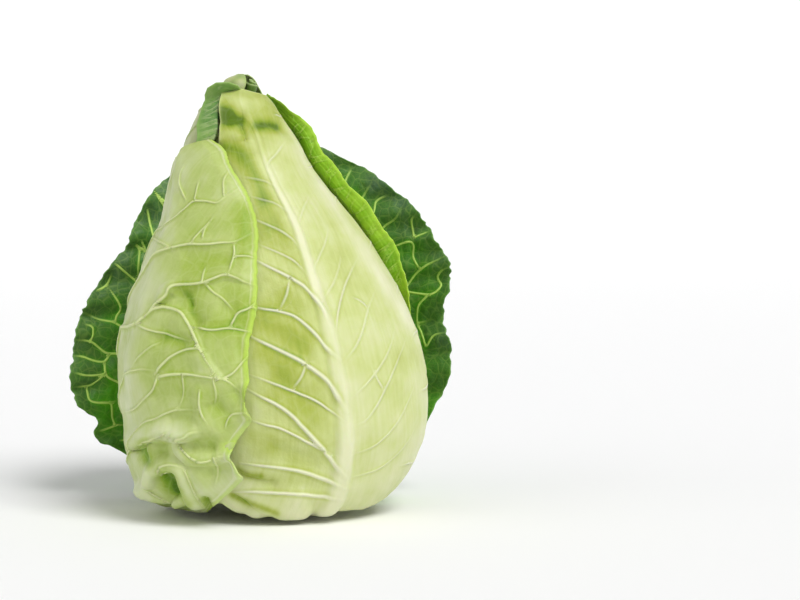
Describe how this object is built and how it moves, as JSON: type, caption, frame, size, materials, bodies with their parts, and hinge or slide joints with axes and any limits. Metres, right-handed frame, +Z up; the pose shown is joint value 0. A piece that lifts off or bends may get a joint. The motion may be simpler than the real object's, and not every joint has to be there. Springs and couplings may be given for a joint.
{
  "type": "pointed cabbage",
  "caption": "Pointed cabbage standing on its cut stalk: a tall heart that comes to a point, pale leaves wrapped round it and one dark open leaf behind.",
  "frame": {"origin": "centre of the stalk's cut face", "axes": "+Z up the head to its point, +X to the right and +Y away from a viewer who has the dark open leaf behind the head"},
  "size_m": [0.2165, 0.1913, 0.2365],
  "materials": {
    "cut_stalk": "matt, fibrous",
    "inner_leaf": "satin, thin wax bloom",
    "pale_leaf": "satin, thin wax bloom",
    "green_leaf": "satin, thin wax bloom",
    "bright_leaf": "satin, lit through",
    "dark_leaf": "satin, pale veins"
  },
  "bodies": {
    "root": {"stalk": "cut_stalk", "heart": "inner_leaf", "tip_leaf": "inner_leaf", "front_leaf": "pale_leaf", "left_leaf": "green_leaf", "right_leaf": "bright_leaf", "outer_leaf": "dark_leaf"}
  },
  "joints": []
}
